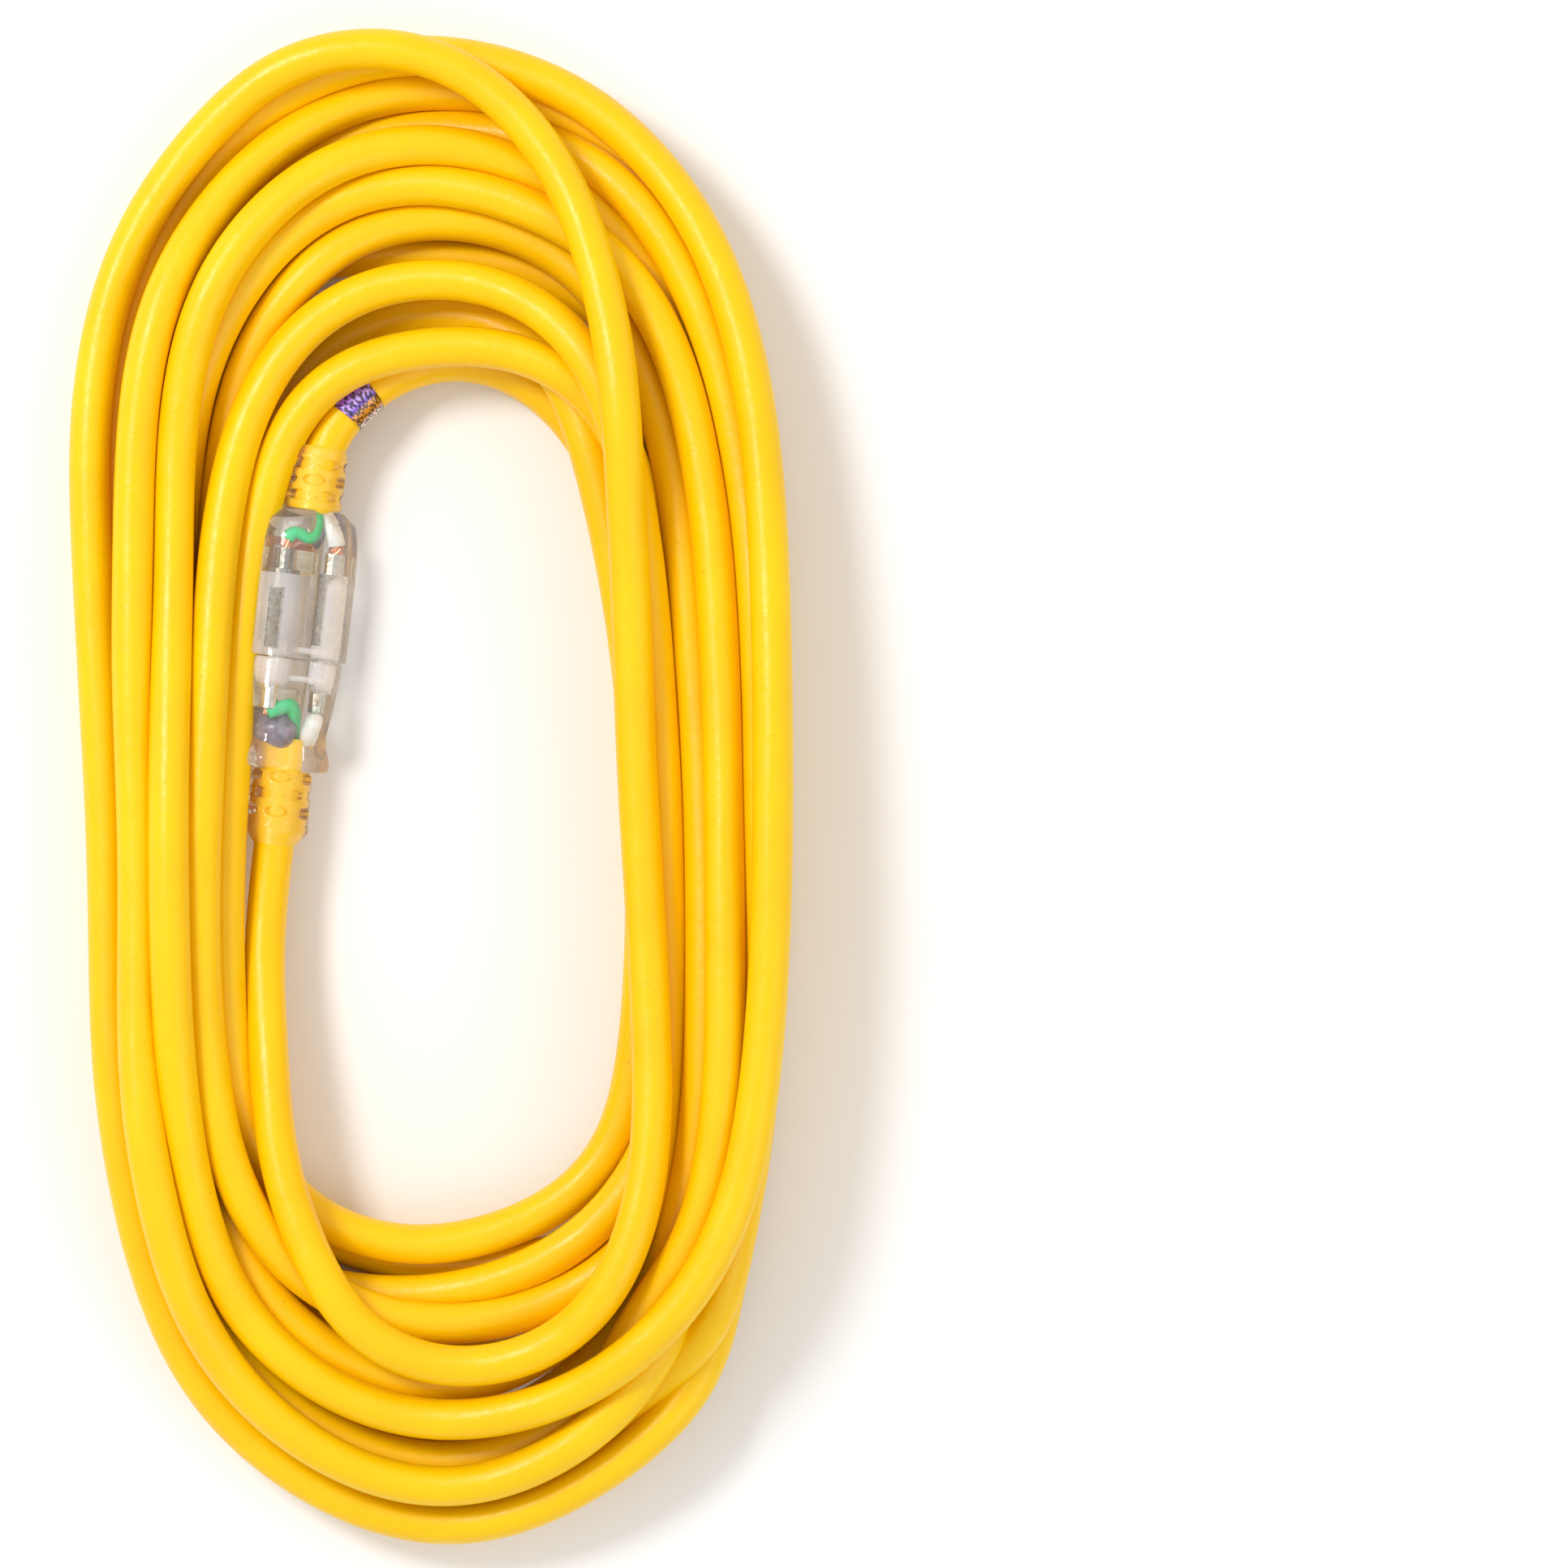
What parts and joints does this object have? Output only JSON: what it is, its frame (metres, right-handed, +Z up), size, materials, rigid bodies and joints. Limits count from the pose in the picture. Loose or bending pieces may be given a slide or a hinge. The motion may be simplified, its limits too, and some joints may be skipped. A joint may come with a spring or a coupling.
{
  "type": "extension cord",
  "caption": "Heavy-duty outdoor extension cord wound in a flat oval coil, its clear grounded plug pushed into its own clear connector.",
  "frame": {"origin": "on the surface the coil lies on, under the middle of the mated plug and connector", "axes": "+Z up from the surface; +Y along the long way of the coil, towards the connector's cord end; +X across the coil, towards its open side"},
  "size_m": [0.1838, 0.3857, 0.04],
  "materials": {
    "clear_pvc": "clear, glossy",
    "clear_insert": "clear, glossy",
    "nickel_plate": "nickel plated, bright",
    "contact_brass": "bright",
    "copper_strand": "bare copper strands",
    "wire_green": "satin",
    "wire_white": "satin",
    "wire_black": "satin",
    "jacket_yellow": "satin",
    "label_film": "clear film over white"
  },
  "bodies": {
    "connector_side": {"connector_strands_ground": "copper_strand", "connector_wire_ground": "wire_green", "connector_strands_neutral": "copper_strand", "connector_wire_neutral": "wire_white", "connector_strands_line": "copper_strand", "connector_wire_line": "wire_black", "connector_ground_contact": "contact_brass", "connector_neutral_contact": "contact_brass", "connector_line_contact": "contact_brass", "connector_contact_carrier": "clear_insert", "connector_body": "clear_pvc", "connector_strain_relief": "clear_pvc", "cord_coil": "jacket_yellow", "cord_connector_lead": "jacket_yellow", "cord_label": "label_film"},
    "plug_side": {"plug_strands_ground": "copper_strand", "plug_wire_ground": "wire_green", "plug_strands_neutral": "copper_strand", "plug_wire_neutral": "wire_white", "plug_strands_line": "copper_strand", "plug_wire_line": "wire_black", "plug_ground_pin": "nickel_plate", "plug_neutral_blade": "nickel_plate", "plug_line_blade": "nickel_plate", "plug_blade_carrier": "clear_insert", "plug_body": "clear_pvc", "plug_strain_relief": "clear_pvc", "cord_plug_lead": "jacket_yellow"}
  },
  "joints": [
    {"name": "plug_pull", "type": "slide", "parent": "connector_side", "child": "plug_side", "axis": [-0.1132, -0.9936, 0], "range_m": [0, 0.026], "deforming": ["cord_plug_lead"]}
  ]
}
